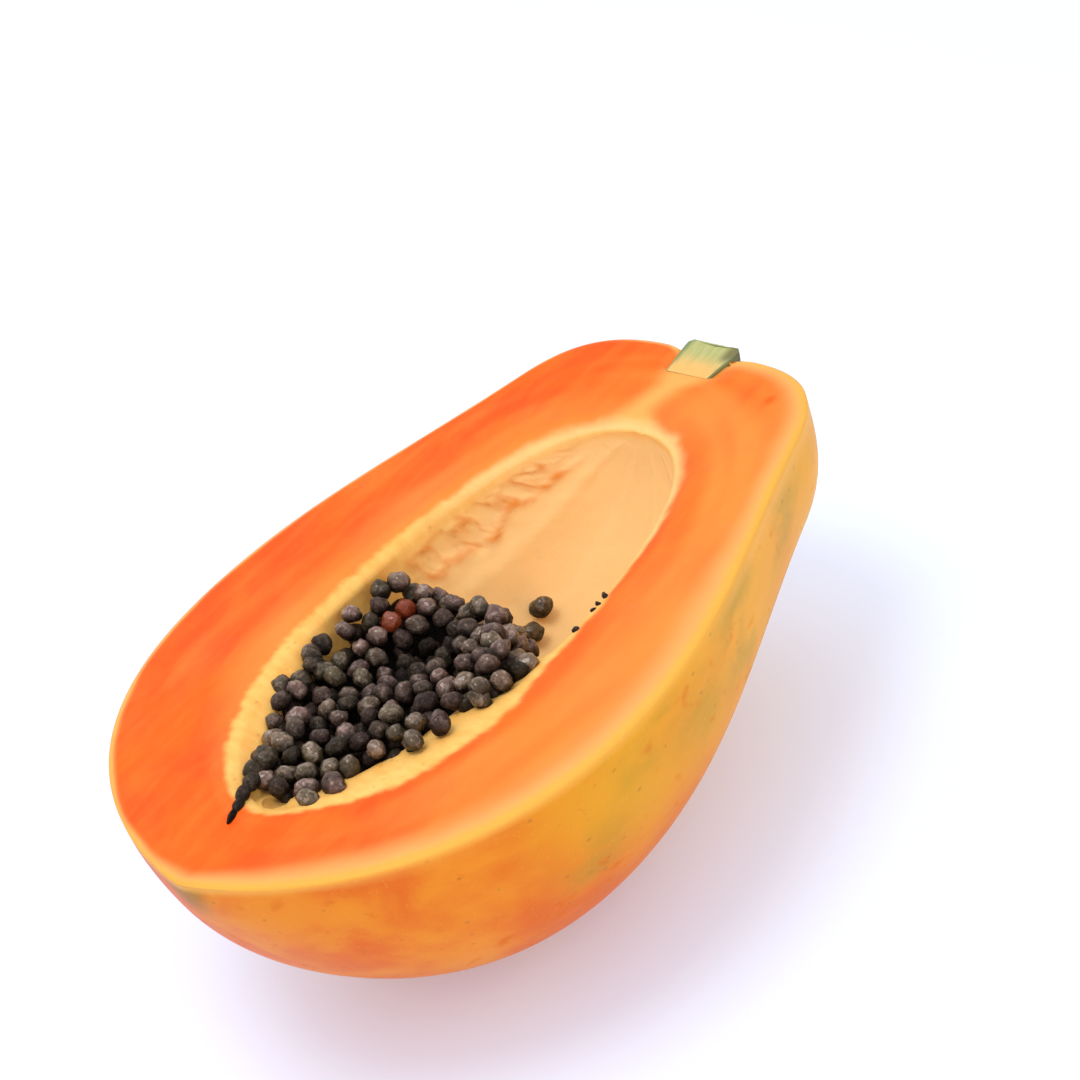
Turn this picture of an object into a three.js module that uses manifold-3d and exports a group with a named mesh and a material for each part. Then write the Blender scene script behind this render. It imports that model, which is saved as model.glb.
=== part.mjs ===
// One half of a ripe papaya, cut from the blossom tip to the stem, lying on its skin.
// The seed cavity is open, and the seeds fill its blossom end in a loose heap.
// Millimetres, +Z up. The shapes are drawn with x from the blossom tip to the stem,
// y across the fruit and z = 0 on the cut face. At the end the whole half is moved, so that
// the origin lies under the middle of its outline, on the surface that it rests on.

import * as THREE from 'three';
import { mergeVertices } from 'three/addons/utils/BufferGeometryUtils.js';
import Module from 'manifold-3d';

const wasm = await Module();
wasm.setup();

// Driving dimensions of the fruit
const LENGTH = 190;
const BELLY_X = 77.4;
const BELLY_RADIUS = 62.9;
const NECK_X = 169;
const NECK_RADIUS = 40.6;
const NECK_SLOPE = 0.29;
const CROWN_RADIUS = 13;
const CROWN_DIP = 3.5;
const DEPTH_SHARE = 1.1;
const LOBES = 5;
const SIDEWAYS_BEND = 1.6;
const FLAT_SPOT_RISE = 1.5;

// Driving dimensions of the seed cavity
const CAVITY_START = 26.5;
const CAVITY_END = 160.5;
const CAVITY_BELLY_X = 80;
const CAVITY_RADIUS = 29.6;
const CAVITY_DEPTH_SHARE = 1.24;
const CAVITY_LOBE = 0.02;

// Driving dimensions of the stem stub
const STEM_START = 180.5;
const STEM_END = 193;
const STEM_RADIUS = 7.4;
const STEM_Y = -1.2;

// Driving dimensions of the seeds
const SEED_LONG = 6.1;
const SEED_WIDE = 5.0;
const SEED_SPACING = 4.45;
const SEED_TRIES = 9000;
const SEED_DRAW = 20240;
const HEAP_START = 29;
const HEAP_FRONT = 98;
const HEAP_FOOT = 110;
const HEAP_NEAR_CUT_BACK = 15;
const STRAY_SPOTS = [[117, 6.7], [123.5, 8.2]];
const TAIL_FROM = [37, 9];
const TAIL_TO = [20.5, 3];
const TAIL_BEADS = 4;

// Small values
const GAP = 0.35;
const FRUIT_SIDES = 64;
const FRUIT_STEPS = 10;
const CAVITY_SIDES = 48;
const CAVITY_STEPS = 12;
const STEM_SIDES = 24;
const SEED_SIDES = 6;
const SEED_RINGS = 3;
const FAR_BELOW = 90;

const { smoothstep, lerp } = THREE.MathUtils;

// A small seeded generator, so that every build draws the same heap
function seededDraws(seed) {
  let state = seed;
  return () => {
    state = (state + 0x6d2b79f5) >>> 0;
    let mixed = Math.imul(state ^ (state >>> 15), state | 1);
    mixed ^= mixed + Math.imul(mixed ^ (mixed >>> 7), mixed | 61);
    return ((mixed ^ (mixed >>> 14)) >>> 0) / 4294967296;
  };
}

function toSolid(geometry) {
  const bare = geometry.clone();
  bare.deleteAttribute('normal');
  bare.deleteAttribute('uv');
  const merged = mergeVertices(bare, 1e-4);
  return new wasm.Manifold(new wasm.Mesh({
    numProp: 3,
    vertProperties: new Float32Array(merged.attributes.position.array),
    triVerts: new Uint32Array(merged.index.array),
  }));
}

function toGeometry(solid) {
  const mesh = solid.getMesh();
  const geometry = new THREE.BufferGeometry();
  geometry.setAttribute('position', new THREE.BufferAttribute(mesh.vertProperties, 3));
  geometry.setIndex(new THREE.BufferAttribute(mesh.triVerts, 1));
  geometry.computeVertexNormals();
  return geometry;
}

function largestPiece(solid) {
  return solid.decompose().sort((a, b) => b.volume() - a.volume())[0];
}

// A box solid given by its lowest and highest corners
function boxSolid(low, high) {
  const size = high.map((value, i) => value - low[i]);
  const box = new THREE.BoxGeometry(...size);
  box.translate(...low.map((value, i) => value + size[i] / 2));
  return toSolid(box);
}

// A body turned about the x axis, from a path of (x, radius) that starts and ends on the axis
function turned(path, steps, sides) {
  const outline = path.getPoints(steps).map((p) => new THREE.Vector2(Math.max(p.y, 0), p.x));
  const lathe = new THREE.LatheGeometry(outline, sides, Math.PI / 2);
  return lathe.rotateZ(-Math.PI / 2);
}

// Raises lobes along the body, deepens it below the cut face and bends its axis sideways
function mould(geometry, lobeAt, depthShare, middleAt) {
  const place = geometry.attributes.position;
  for (let i = 0; i < place.count; i += 1) {
    const x = place.getX(i);
    const angle = Math.atan2(place.getZ(i), place.getY(i));
    const radius = Math.hypot(place.getY(i), place.getZ(i)) * (1 + lobeAt(x) * Math.cos(LOBES * angle));
    place.setXYZ(i, x, radius * Math.cos(angle) + middleAt(x), radius * Math.sin(angle) * depthShare);
  }
  return geometry;
}

const middleLine = (x) => -SIDEWAYS_BEND * smoothstep(x, 0, LENGTH / 2);

// The lobes are strongest round the stem, nearly lost at the belly and back a little at the tip
function fruitLobe(x) {
  const share = x / LENGTH;
  return 0.012 + 0.028 * share ** 3 + 0.008 * (1 - share) ** 4;
}

function fruitPath() {
  const path = new THREE.Path().moveTo(0, 0);
  path.bezierCurveTo(0, 0.7, 10.7, BELLY_RADIUS, BELLY_X, BELLY_RADIUS);
  path.bezierCurveTo(BELLY_X + 32, BELLY_RADIUS, NECK_X - 36, NECK_RADIUS + 36 * NECK_SLOPE,
    NECK_X, NECK_RADIUS);
  path.bezierCurveTo(NECK_X + 13, NECK_RADIUS - 13 * NECK_SLOPE, LENGTH, CROWN_RADIUS + 17,
    LENGTH, CROWN_RADIUS);
  path.bezierCurveTo(LENGTH, CROWN_RADIUS - 5, LENGTH - CROWN_DIP, 6, LENGTH - CROWN_DIP, 0);
  return path;
}

function cavityPath(inset) {
  const start = CAVITY_START + 1.5 * inset;
  const end = CAVITY_END - inset;
  const radius = CAVITY_RADIUS - inset;
  const path = new THREE.Path().moveTo(start, 0);
  path.bezierCurveTo(start + 1, 12, CAVITY_BELLY_X - 34, radius, CAVITY_BELLY_X, radius);
  path.bezierCurveTo(CAVITY_BELLY_X + 38, radius, end, radius - 5, end, 0);
  return path;
}

function cavitySolid(inset) {
  const space = turned(cavityPath(inset), CAVITY_STEPS, CAVITY_SIDES);
  return toSolid(mould(space, () => CAVITY_LOBE, CAVITY_DEPTH_SHARE, middleLine));
}

// The cavity's half width at x, read from the same path that cuts it
const cavityOutline = cavityPath(0).getPoints(40);
function cavityHalfWidth(x) {
  const next = cavityOutline.findIndex((p) => p.x > x);
  if (next < 1) return 0;
  const [a, b] = [cavityOutline[next - 1], cavityOutline[next]];
  return lerp(a.y, b.y, (x - a.x) / (b.x - a.x));
}

function stemSolid(grow) {
  const path = new THREE.Path().moveTo(STEM_START - grow, 0);
  path.lineTo(STEM_START - grow, STEM_RADIUS - 1.4 + grow);
  path.bezierCurveTo(STEM_START + 5, STEM_RADIUS - 1 + grow, STEM_END - 4, STEM_RADIUS + grow,
    STEM_END - 1.2, STEM_RADIUS + grow);
  path.lineTo(STEM_END + grow, STEM_RADIUS - 1 + grow);
  path.lineTo(STEM_END - 1 + grow, 0);
  const stub = mould(turned(path, 4, STEM_SIDES), () => 0.03, 1, () => STEM_Y);
  return toSolid(stub).intersect(belowTheCut());
}

const belowTheCut = () => boxSolid([-20, -FAR_BELOW, -FAR_BELOW], [LENGTH + 20, FAR_BELOW, 0]);

// Height of the heap of seeds over the cut face: a hollow in its middle, a raised near side
// and a steep front that falls to the cavity floor
function heapTop(x, y) {
  const hollow = 8 * Math.exp(-(((x - 82) / 17) ** 2) - ((y - 6) / 12) ** 2);
  const nearSide = 3.2 * smoothstep(-y, 14, 26);
  const farSide = 0.5 * smoothstep(y, 14, 24);
  const frontX = HEAP_FRONT - HEAP_NEAR_CUT_BACK * smoothstep(-y, 6, 24);
  const front = 3.2 * Math.max(0, x - frontX);
  return -1.6 - hollow + nearSide - farSide - front;
}

// True where a seed's middle at this height is clear of the cavity wall
function seedFits(x, y, z) {
  const nearest = Math.min(cavityHalfWidth(x - 3), cavityHalfWidth(x + 3));
  const across = Math.hypot(y - middleLine(x), Math.min(z, 0) / CAVITY_DEPTH_SHARE);
  return across < nearest - SEED_WIDE / 2 - GAP;
}

// The far corner of the blossom end is bare
const bareCorner = (x, y) => x < 66 && y > 9 + (x - 34) * 0.55;

function seedSpots() {
  const draw = seededDraws(SEED_DRAW);
  const spots = [];
  for (let i = 0; i < SEED_TRIES; i += 1) {
    const x = lerp(HEAP_START, HEAP_FOOT, draw());
    const y = lerp(-CAVITY_RADIUS, CAVITY_RADIUS, draw());
    const z = heapTop(x, y) + lerp(-0.9, 1.1, draw());
    const turn = [draw(), draw(), draw()].map((value) => value * Math.PI);
    const spot = new THREE.Vector3(x, y, z);
    const free = spots.every((other) => other.spot.distanceTo(spot) > SEED_SPACING);
    if (free && seedFits(x, y, z) && !bareCorner(x, y)) spots.push({ spot, turn, size: lerp(0.9, 1.08, draw()) });
  }
  return spots;
}

function ovoid(long, wide, turn, spot) {
  const shape = new THREE.SphereGeometry(0.5, SEED_SIDES, SEED_RINGS);
  shape.scale(wide, long, wide);
  shape.applyMatrix4(new THREE.Matrix4().makeRotationFromEuler(new THREE.Euler(...turn)));
  return toSolid(shape.translate(...spot));
}

// The dark string of small seeds that runs from the heap into the flesh at the blossom end
function tailSolid(grow) {
  const [dx, dy] = [TAIL_TO[0] - TAIL_FROM[0], TAIL_TO[1] - TAIL_FROM[1]];
  const beads = [];
  for (let i = 0; i < TAIL_BEADS; i += 1) {
    const share = i / (TAIL_BEADS - 1);
    const wide = lerp(5, 1.8, share) + 2 * grow;
    const long = lerp(7.5, 6.5, share) + 2 * grow;
    const spot = [TAIL_FROM[0] + dx * share, TAIL_FROM[1] + dy * share, 0];
    beads.push(ovoid(long, wide, [0, 0, Math.atan2(dy, dx) - Math.PI / 2], spot));
  }
  return wasm.Manifold.union(beads);
}

// The inner bulk of the heap, which the seeds stand out of
function heapCore() {
  const cover = new THREE.BoxGeometry(HEAP_FOOT - HEAP_START, 2 * CAVITY_RADIUS, FAR_BELOW, 10, 8, 1);
  cover.translate((HEAP_FOOT + HEAP_START) / 2, 0, -FAR_BELOW / 2);
  const place = cover.attributes.position;
  for (let i = 0; i < place.count; i += 1) {
    if (place.getZ(i) > -1) place.setZ(i, heapTop(place.getX(i), place.getY(i)) - 1.8);
  }
  return toSolid(cover).intersect(cavitySolid(2)).intersect(belowTheCut());
}

function seedsSolid() {
  const seeds = seedSpots().map(({ spot, turn, size }) => (
    ovoid(SEED_LONG * size, SEED_WIDE * size, turn, spot.toArray())));
  const heap = wasm.Manifold.union([heapCore(), ...seeds]);
  const room = cavitySolid(GAP).add(boxSolid([0, -FAR_BELOW, GAP], [LENGTH, FAR_BELOW, FAR_BELOW]));
  return largestPiece(heap.intersect(room).add(tailSolid(0)));
}

// Each stray seed lies on the cavity floor, just in front of the heap
function straySeed([x, y]) {
  const across = (y - middleLine(x)) / cavityHalfWidth(x);
  const floor = -cavityHalfWidth(x) * CAVITY_DEPTH_SHARE * Math.sqrt(1 - across ** 2);
  const seed = ovoid(SEED_LONG, SEED_WIDE, [0, 0, x], [x, y, floor + SEED_WIDE / 2 + 1]);
  return seed.intersect(cavitySolid(GAP));
}

function fruitSolid() {
  const whole = toSolid(mould(turned(fruitPath(), FRUIT_STEPS, FRUIT_SIDES), fruitLobe, DEPTH_SHARE, middleLine));
  const low = whole.boundingBox().min[2] + FLAT_SPOT_RISE;
  const kept = boxSolid([-20, -FAR_BELOW, low], [LENGTH + 20, FAR_BELOW, 0]);
  const half = whole.intersect(kept).subtract(cavitySolid(0));
  return largestPiece(half.subtract(tailSolid(GAP)).subtract(stemSolid(GAP)));
}

function piece(name, solid, color, roughness) {
  const material = new THREE.MeshStandardMaterial({ color, roughness, metalness: 0 });
  const mesh = new THREE.Mesh(toGeometry(solid), material);
  mesh.name = name;
  return mesh;
}

const papaya = new THREE.Group();
papaya.add(piece('fruit_half', fruitSolid(), 0xf58a3c, 0.5));
papaya.add(piece('stem_stub', stemSolid(0), 0xb9bd74, 0.7));
papaya.add(piece('seeds', seedsSolid(), 0x2b201d, 0.35));
STRAY_SPOTS.forEach((spot, i) => {
  papaya.add(piece(`stray_seed_${i + 1}`, straySeed(spot), 0x2b201d, 0.35));
});

const outline = new THREE.Box3().setFromObject(papaya);
const centre = outline.getCenter(new THREE.Vector3());
papaya.position.set(-centre.x, -centre.y, -outline.min.z);

export default papaya;
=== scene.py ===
# %% [markdown]
# # Half of a ripe papaya
# A ripe papaya was cut from its blossom tip to its stem, and this half lies on its skin. The
# cavity is open, and wet black seeds fill its blossom end. The CAD solids give every place and
# size. This script dresses them with a finer skin and cut face, a lining with ribs and torn
# membranes, wrinkled seeds, and materials made only from nodes. The frame is loaded first,
# because every later number is measured against it.

# %% Load the frame
import math
import random

import bmesh
import bpy
from mathutils import Matrix, Vector, noise
from mathutils.geometry import interpolate_bezier
from mathutils.kdtree import KDTree


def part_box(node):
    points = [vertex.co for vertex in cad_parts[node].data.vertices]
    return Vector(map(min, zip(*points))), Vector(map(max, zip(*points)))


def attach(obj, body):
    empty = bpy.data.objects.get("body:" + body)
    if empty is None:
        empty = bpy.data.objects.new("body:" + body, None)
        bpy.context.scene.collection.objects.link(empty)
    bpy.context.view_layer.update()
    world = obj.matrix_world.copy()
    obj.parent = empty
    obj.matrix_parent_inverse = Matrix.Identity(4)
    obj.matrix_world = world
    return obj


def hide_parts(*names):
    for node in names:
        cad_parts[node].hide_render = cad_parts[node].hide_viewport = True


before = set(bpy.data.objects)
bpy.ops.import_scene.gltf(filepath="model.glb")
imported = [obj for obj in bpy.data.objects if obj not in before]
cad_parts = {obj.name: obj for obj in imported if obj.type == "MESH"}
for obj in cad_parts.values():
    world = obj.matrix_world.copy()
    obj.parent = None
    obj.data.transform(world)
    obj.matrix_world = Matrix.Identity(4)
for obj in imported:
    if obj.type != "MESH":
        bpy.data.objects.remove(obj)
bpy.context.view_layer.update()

fruit_low, fruit_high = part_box("fruit_half")
blossom_tip = min((v.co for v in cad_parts["fruit_half"].data.vertices), key=lambda co: co.x)
print("fruit from", [round(c, 4) for c in fruit_low], "to", [round(c, 4) for c in fruit_high])

# %% [markdown]
# ## One drawing space
# A fruit is easiest to describe along its own axis, in millimetres: x runs from the blossom tip
# to the stem, y across, and z = 0 is the cut face. It could be drawn in the frame's metres, but
# then each rule would carry offsets. So every piece is drawn here, and one matrix moves its mesh
# into the frame, while the objects themselves stay at the origin.

# %% Drawing space
DRAWING_ORIGIN = Vector((blossom_tip.x, blossom_tip.y, fruit_high.z))
TO_FRAME = Matrix.Translation(DRAWING_ORIGIN) @ Matrix.Scale(0.001, 4)
TABLE_Z = -1000 * fruit_high.z
print("the table lies at", round(TABLE_Z, 2), "mm")


# %% Small helpers
def ease(value, low, high):
    """0 below low, 1 above high, and a smooth step between."""
    t = min(max((value - low) / (high - low), 0.0), 1.0)
    return t * t * (3 - 2 * t)


def between(a, b, t):
    """The value that lies a share t of the way from a to b."""
    return a + (b - a) * t


def ripple(x, y, z=0.0, size=1.0):
    """Soft noise between -1 and 1 whose bumps are about size millimetres wide."""
    return noise.noise(Vector((x, y, z)) / size)


def mound(x, y, at_x, at_y, wide_x, wide_y):
    """A soft spot: 1 in its middle, fading over wide_x and wide_y millimetres."""
    return math.exp(-(((x - at_x) / wide_x) ** 2) - ((y - at_y) / wide_y) ** 2)


# %% [markdown]
# ## Handing a piece over
# A piece is shaped as a bmesh and becomes an object only at the end. One function does that for
# all of them: it moves the mesh into the frame, adds the materials, tells the frame which body
# the piece rides on, and hides the CAD nodes it stands for.

# %% Hand-over
def smooth_all(bm):
    for face in bm.faces:
        face.smooth = True


def finish_piece(bm, name, node_names, materials):
    """Moves the mesh into the frame and hands it over as a piece that stands for CAD nodes."""
    bmesh.ops.transform(bm, matrix=TO_FRAME, verts=bm.verts)
    mesh = bpy.data.meshes.new(name)
    bm.to_mesh(mesh)
    bm.free()
    piece = bpy.data.objects.new(name, mesh)
    bpy.context.scene.collection.objects.link(piece)
    for material in materials:
        mesh.materials.append(material)
    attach(piece, "root")
    if node_names:
        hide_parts(*node_names)
    print(name, "has", len(mesh.polygons), "faces")
    return piece


# %% [markdown]
# ## A kit for wiring finishes
# A finish could be wired socket by socket, but then a colour recipe is lost among the links.
# This small kit adds a node, fills its sockets and gives back its output, so a finish reads as a
# few lines. It works in a material and in a node group.

# %% The wiring kit
class Wires:
    """Adds nodes to one tree and gives back their outputs."""

    def __init__(self, tree):
        self.tree = tree

    def put(self, socket, value):
        if isinstance(value, bpy.types.NodeSocket):
            self.tree.links.new(value, socket)
        else:
            socket.default_value = value

    def node(self, kind, inputs=(), **settings):
        made = self.tree.nodes.new(kind)
        for key, value in settings.items():
            setattr(made, key, value)
        for key, value in dict(inputs).items():
            self.put(made.inputs[key], value)
        return made

    def own(self, name):
        """A map that the mesh carries."""
        return self.node("ShaderNodeAttribute", attribute_name=name).outputs["Fac"]

    def place(self, stretch=(1.0, 1.0, 1.0)):
        """Object coordinates in metres, stretched along each axis."""
        source = self.node("ShaderNodeTexCoord").outputs["Object"]
        return self.node("ShaderNodeMapping", {"Vector": source, "Scale": stretch}).outputs[0]

    def group(self, tree, **inputs):
        made = self.node("ShaderNodeGroup", node_tree=tree)
        for key, value in inputs.items():
            self.put(made.inputs[key], value)
        return made.outputs[0]

    def calc(self, operation, a, b=0.0, c=0.0):
        made = self.node("ShaderNodeMath", {0: a, 1: b, 2: c}, operation=operation)
        return made.outputs[0]

    def times(self, a, b):
        return self.calc("MULTIPLY", a, b)

    def step(self, value, low, high):
        """0 at low, 1 at high, smooth between. High may be the smaller one."""
        made = self.node("ShaderNodeMapRange", {"Value": value, "From Min": low, "From Max": high},
                         interpolation_type="SMOOTHSTEP")
        return made.outputs["Result"]

    def mix(self, a, b, factor):
        made = self.node("ShaderNodeMix", {0: factor, 6: a, 7: b}, data_type="RGBA")
        return made.outputs[2]

    def glaze(self, base, colour, mask, strength):
        """Lays a thin colour over the base: strength is how much of it the mask lets show."""
        return self.mix(base, colour, self.times(mask, strength))

    def roughness(self, shader, mask, least, extra):
        """Roughness that rises with the mask, from least to least + extra."""
        self.put(shader.inputs["Roughness"], self.calc("MULTIPLY_ADD", mask, extra, least))

    def bumps(self, shader, height, strength, distance):
        made = self.node("ShaderNodeBump", {
            "Height": height, "Strength": strength, "Distance": distance})
        self.put(shader.inputs["Normal"], made.outputs[0])


# %% Colours, groups and materials
def paint(red, green, blue):
    """A colour as it is seen on a screen, 0 to 255, turned into the renderer's linear values."""
    seen = [c / 255 for c in (red, green, blue)]
    return (*[c / 12.92 if c <= 0.04045 else ((c + 0.055) / 1.055) ** 2.4 for c in seen], 1.0)


def new_group(name, inputs):
    """A node group with a place, named number inputs and one output named Result."""
    tree = bpy.data.node_groups.new(name, "ShaderNodeTree")
    tree.interface.new_socket("Place", in_out="INPUT", socket_type="NodeSocketVector")
    for key, value in inputs.items():
        socket = tree.interface.new_socket(key, in_out="INPUT", socket_type="NodeSocketFloat")
        socket.default_value = value
    tree.interface.new_socket("Result", in_out="OUTPUT", socket_type="NodeSocketFloat")
    wires = Wires(tree)
    given = wires.node("NodeGroupInput").outputs
    result = wires.node("NodeGroupOutput").inputs[0]
    return tree, wires, given, result


def new_material(name, **constants):
    """A material whose constants are set on the shader's own sockets."""
    material = bpy.data.materials.new(name)
    material.use_nodes = True
    shader = material.node_tree.nodes["Principled BSDF"]
    for key, value in constants.items():
        shader.inputs[key.replace("_", " ")].default_value = value
    return material, Wires(material.node_tree), shader


# %% [markdown]
# ## Effects that several finishes share
# Fruit is never one colour. Three groups carry that: soft mottling for patches and fibres,
# specks for pores, and a fine relief for moist or waxy surfaces. Each material could have its
# own copy, but as groups they are built once and placed with each material's own sizes.

# %% Soft mottling
def make_mottle():
    tree, wires, given, result = new_group("soft_mottle", {"Scale": 60.0, "Low": 0.4, "High": 0.6})
    cloud = wires.node("ShaderNodeTexNoise", {
        "Vector": given["Place"], "Scale": given["Scale"], "Detail": 5.0, "Roughness": 0.55,
        "Distortion": 0.4})
    wires.put(result, wires.step(cloud.outputs[0], given["Low"], given["High"]))
    return tree


MOTTLE = make_mottle()


# %% Small specks
def make_specks():
    """Round specks in some cells of a Voronoi pattern; Share says in how many of them."""
    tree, wires, given, result = new_group(
        "small_specks", {"Scale": 500.0, "Reach": 0.2, "Share": 0.5})
    cells = wires.node("ShaderNodeTexVoronoi", {"Vector": given["Place"], "Scale": given["Scale"]})
    dot = wires.step(cells.outputs["Distance"], given["Reach"], 0.0)
    shade = wires.node("ShaderNodeSeparateColor", {0: cells.outputs["Color"]}).outputs[0]
    wires.put(result, wires.times(dot, wires.calc("LESS_THAN", shade, given["Share"])))
    return tree


SPECKS = make_specks()


# %% Fine relief
def make_relief():
    """Broad bumps with finer ones on them; Grain says how strong the finer ones are."""
    tree, wires, given, result = new_group("fine_relief", {"Scale": 400.0, "Grain": 0.5})
    broad = wires.node("ShaderNodeTexNoise", {
        "Vector": given["Place"], "Scale": given["Scale"], "Detail": 3.0})
    fine = wires.node("ShaderNodeTexNoise", {
        "Vector": given["Place"], "Scale": wires.times(given["Scale"], 4.0), "Detail": 2.0})
    grain = wires.times(fine.outputs[0], given["Grain"])
    wires.put(result, wires.calc("ADD", broad.outputs[0], grain))
    return tree


RELIEF = make_relief()
print("shared groups:", MOTTLE.name, SPECKS.name, RELIEF.name)

# %% [markdown]
# ## The finish of the cut flesh
# Ripe flesh is wet and lets light in a little way, so it gets subsurface scattering, a low
# roughness and a thin coat. Its colour follows the real cut: pale just under the skin, orange
# between, redder on the far side and at the blossom end, with a pale strand below the stem. A
# texture can't know how far a point is from the skin or from the cavity, so the mesh carries
# those distances as maps, and the nodes only mix colours by them.


# %% Colours of the flesh
def flesh_colour(wires, cloud):
    streaks = wires.group(MOTTLE, Place=wires.place((0.25, 1.0, 1.0)), Scale=260.0, Low=0.35,
                          High=0.7)
    warm = wires.mix(paint(255, 138, 58), paint(246, 80, 0), wires.own("redness"))
    warm = wires.glaze(warm, paint(255, 148, 36), cloud, 0.22)
    warm = wires.glaze(warm, paint(255, 158, 60), streaks, 0.14)
    blush = wires.mix(warm, paint(255, 170, 94), wires.own("under_skin"))
    gold = wires.mix(blush, paint(244, 178, 74), wires.own("rim_gold"))
    return wires.mix(gold, paint(255, 172, 86), wires.own("stem_strand"))


# %% Colours of the lining
def lining_colour(wires, place):
    fibres = wires.group(MOTTLE, Place=wires.place((1.6, 0.7, 0.7)), Scale=260.0, Low=0.3,
                         High=0.7)
    lining = wires.mix(paint(255, 200, 110), paint(253, 186, 94), fibres)
    specks = wires.group(SPECKS, Place=place, Scale=420.0, Reach=0.35, Share=0.2)
    lining = wires.glaze(lining, paint(206, 128, 52), specks, 0.5)
    peach = wires.mix(lining, paint(255, 206, 138), wires.own("wall_peach"))
    # Darker orange in the torn skin, at the ledge and along the ribs: partly the membrane's own
    # colour, partly painted shade.
    return wires.mix(peach, paint(226, 132, 46), wires.own("creases_and_shade"))


# %% Flesh material
def make_flesh():
    material, wires, shader = new_material(
        "papaya_flesh", Subsurface_Weight=0.2, Subsurface_Scale=0.003, Coat_Weight=0.03,
        Coat_Roughness=0.35, Specular_IOR_Level=0.1)
    shader.inputs["Subsurface Radius"].default_value = (1.0, 0.45, 0.2)
    place = wires.place()
    cloud = wires.group(MOTTLE, Place=place, Scale=45.0, Low=0.3, High=0.7)
    colour = wires.mix(flesh_colour(wires, cloud), lining_colour(wires, place),
                       wires.own("lining"))
    wires.put(shader.inputs["Base Color"], colour)
    wires.roughness(shader, cloud, least=0.4, extra=0.12)
    height = wires.group(RELIEF, Place=place, Scale=520.0, Grain=0.5)
    wires.bumps(shader, height, strength=0.35, distance=0.0003)
    return material


FLESH = make_flesh()
print(FLESH.name, "has", len(FLESH.node_tree.nodes), "nodes")

# %% [markdown]
# ## The finish of the skin
# The skin is waxy and thin: yellow and orange where it is ripe, with clouds that are still green
# and brown, darker green round the blossom end, and small brown pores drawn out lengthwise. The
# large areas come from maps on the mesh, and mottling breaks up their edges, because a ripening
# fruit turns colour patch by patch.


# %% Colours of the skin
def skin_colour(wires, place, stain, pores):
    # Deeper, darker orange by the map: painted shade and a painted orange reflection underneath,
    # and the blossom end's own colour.
    ripe = wires.mix(paint(236, 160, 16), paint(228, 102, 6), wires.own("deep_orange_and_shade"))
    yellow = wires.group(MOTTLE, Place=wires.place((0.5, 1.0, 1.0)), Scale=42.0, Low=0.42,
                         High=0.68)
    ripe = wires.glaze(ripe, paint(252, 176, 34), yellow, 0.4)
    blotch = wires.group(MOTTLE, Place=wires.place((0.6, 1.0, 1.0)), Scale=70.0, Low=0.36,
                         High=0.7)
    green = wires.times(blotch, wires.own("greenness"))
    mottled = wires.glaze(ripe, paint(170, 138, 22), green, 0.6)
    mottled = wires.glaze(mottled, paint(214, 92, 22), stain, 0.4)
    tipped = wires.mix(mottled, paint(120, 112, 34), wires.own("tip_green"))
    colour = wires.glaze(tipped, paint(142, 84, 28), pores, 0.5)
    pale_dots = wires.group(SPECKS, Place=place, Scale=900.0, Reach=0.3, Share=0.3)
    colour = wires.glaze(colour, paint(255, 196, 92), pale_dots, 0.3)
    return wires.mix(colour, paint(246, 178, 76), wires.own("edge_fade"))


# %% Skin material
def make_skin():
    material, wires, shader = new_material(
        "papaya_skin", Subsurface_Weight=0.06, Subsurface_Scale=0.002, Coat_Weight=0.04,
        Coat_Roughness=0.35, Specular_IOR_Level=0.15)
    place = wires.place()
    stain = wires.group(MOTTLE, Place=place, Scale=150.0, Low=0.58, High=0.74)
    pores = wires.group(SPECKS, Place=wires.place((0.6, 1.0, 1.0)), Scale=330.0, Reach=0.2,
                        Share=0.35)
    wires.put(shader.inputs["Base Color"], skin_colour(wires, place, stain, pores))
    wires.roughness(shader, stain, least=0.45, extra=0.2)
    wax = wires.group(RELIEF, Place=place, Scale=260.0, Grain=0.3)
    wires.bumps(shader, wires.calc("SUBTRACT", wax, pores), strength=0.25, distance=0.0003)
    return material


SKIN = make_skin()
print(SKIN.name, "has", len(SKIN.node_tree.nodes), "nodes")

# %% [markdown]
# ## The outline of the fruit
# Seen from the side, a papaya is a blunt tip, a full belly, a slimmer neck, and a crown that dips
# round the stem. Points could be placed by hand, but a chain of Bezier spans needs only a few
# named sizes and stays smooth where the spans meet.

# %% Sizes of the fruit
LENGTH = 190.0
BELLY_X, BELLY_RADIUS = 77.4, 62.9
NECK_X, NECK_RADIUS, NECK_SLOPE = 169.0, 40.6, 0.29
CROWN_RADIUS, CROWN_DIP = 13.0, 3.5
TIP_BLUNTNESS, TIP_HANDLE, BELLY_HANDLE = 0.7, 10.7, 32
NECK_HANDLE_BACK, NECK_HANDLE_ON = 36, 13
CROWN_HANDLE_OUT, CROWN_HANDLE_IN, DIP_HANDLE = 17, 5, 6


# %% Outline of the fruit
def chain(spans):
    """Points (x, radius) along Bezier spans, each with its four control points and a count."""
    line = []
    for knots, count in spans:
        line += interpolate_bezier(*[Vector((*knot, 0)) for knot in knots], count + 1)[:-1]
    return line + [Vector((*spans[-1][0][3], 0))]


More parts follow.
